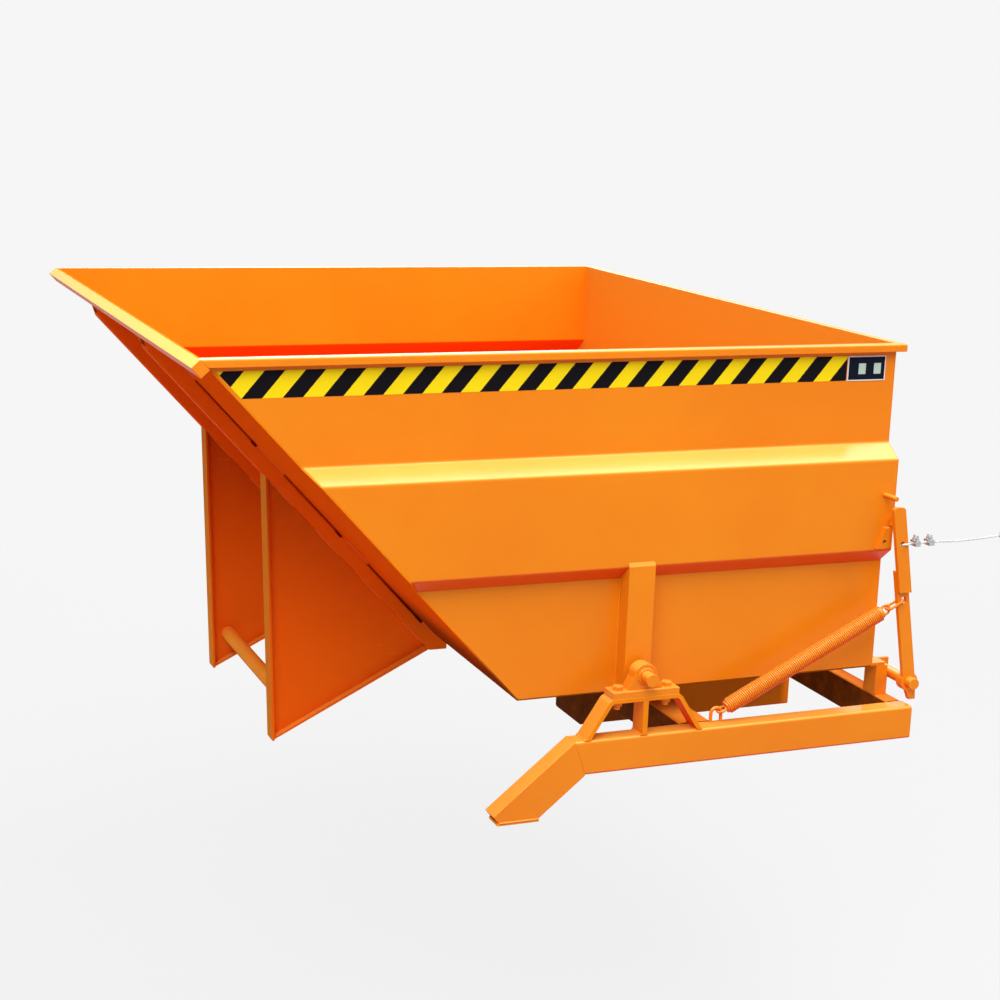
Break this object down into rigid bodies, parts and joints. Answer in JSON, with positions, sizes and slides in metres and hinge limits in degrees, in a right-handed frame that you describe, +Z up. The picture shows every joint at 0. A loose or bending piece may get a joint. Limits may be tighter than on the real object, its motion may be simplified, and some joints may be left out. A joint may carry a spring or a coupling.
{
  "type": "tipping skip",
  "caption": "Open steel tipping skip with a sloped front, hung on side bearings over a fork-pocket base frame, with a spring-returned latch, pull cable and safety chain.",
  "frame": {"origin": "on the floor under the middle of the box round the skip and its base, without the release cable", "axes": "+Z up; -X towards the pouring lip; +X towards the fork side; -Y is the left as the driver faces the skip"},
  "size_m": [2, 1.978, 1.034],
  "materials": {
    "orange_paint": "orange powder coat",
    "galvanised_steel": "galvanised",
    "wire_rope": "stranded",
    "hazard_tape": "yellow and black stripes",
    "label_film": "blank dark film with a pale border"
  },
  "bodies": {
    "base": {"rail_left": "orange_paint", "rail_right": "orange_paint", "leg_left": "orange_paint", "leg_right": "orange_paint", "foot_plates": "orange_paint", "front_beam": "orange_paint", "rear_beam": "orange_paint", "fork_pocket_left": "orange_paint", "fork_pocket_right": "orange_paint", "bearing_stand_left": "orange_paint", "bearing_stand_right": "orange_paint", "stand_posts": "orange_paint", "bearing_housing_left": "orange_paint", "bearing_housing_right": "orange_paint", "bearing_insert_left": "orange_paint", "bearing_insert_right": "orange_paint", "bearing_bolts": "orange_paint", "bearing_nuts": "orange_paint", "rest_blocks": "orange_paint", "shaft_brackets": "orange_paint", "spring_eye": "orange_paint", "spring_end_low": "orange_paint", "return_spring": "orange_paint", "chain_staples": "orange_paint"},
    "skip": {"side_panel_left": "orange_paint", "side_panel_right": "orange_paint", "slope_panel": "orange_paint", "bottom_panel": "orange_paint", "rear_panel": "orange_paint", "rim_front": "orange_paint", "rim_rear": "orange_paint", "rim_left": "orange_paint", "rim_right": "orange_paint", "wall_post_left": "orange_paint", "wall_post_right": "orange_paint", "tipping_shaft_left": "orange_paint", "tipping_shaft_right": "orange_paint", "slope_rib_left": "orange_paint", "slope_rib_right": "orange_paint", "stand_plate_left": "orange_paint", "stand_plate_right": "orange_paint", "reset_bar": "orange_paint", "hazard_tape_left": "hazard_tape", "hazard_tape_right": "hazard_tape", "blank_label": "label_film", "rest_tabs": "orange_paint", "catch_lug_left": "orange_paint", "catch_lug_right": "orange_paint", "stop_pins": "orange_paint"},
    "latch": {"latch_shaft": "orange_paint", "latch_lever_left": "orange_paint", "latch_lever_right": "orange_paint", "spring_end_high": "orange_paint", "spring_link": "orange_paint", "release_cable": "wire_rope", "cable_clips": "galvanised_steel", "cable_end": "galvanised_steel"},
    "chain": {"safety_chain": "galvanised_steel"}
  },
  "joints": [
    {"name": "tip", "type": "hinge", "parent": "base", "child": "skip", "pos_m": [0.13271, 0, 0.311], "axis": [0, -1, 0], "range_deg": [0, 85]},
    {"name": "latch_turn", "type": "hinge", "parent": "base", "child": "latch", "pos_m": [0.85271, 0, 0.226], "axis": [0, 1, 0], "range_deg": [0, 25], "stiffness_Nm_per_rad": 20, "springref_deg": -17.19, "deforming": ["return_spring"]},
    {"name": "chain_swing", "type": "hinge", "parent": "base", "child": "chain", "pos_m": [0.85971, 0, 0.152], "axis": [0, -1, 0], "range_deg": [0, 12]}
  ]
}
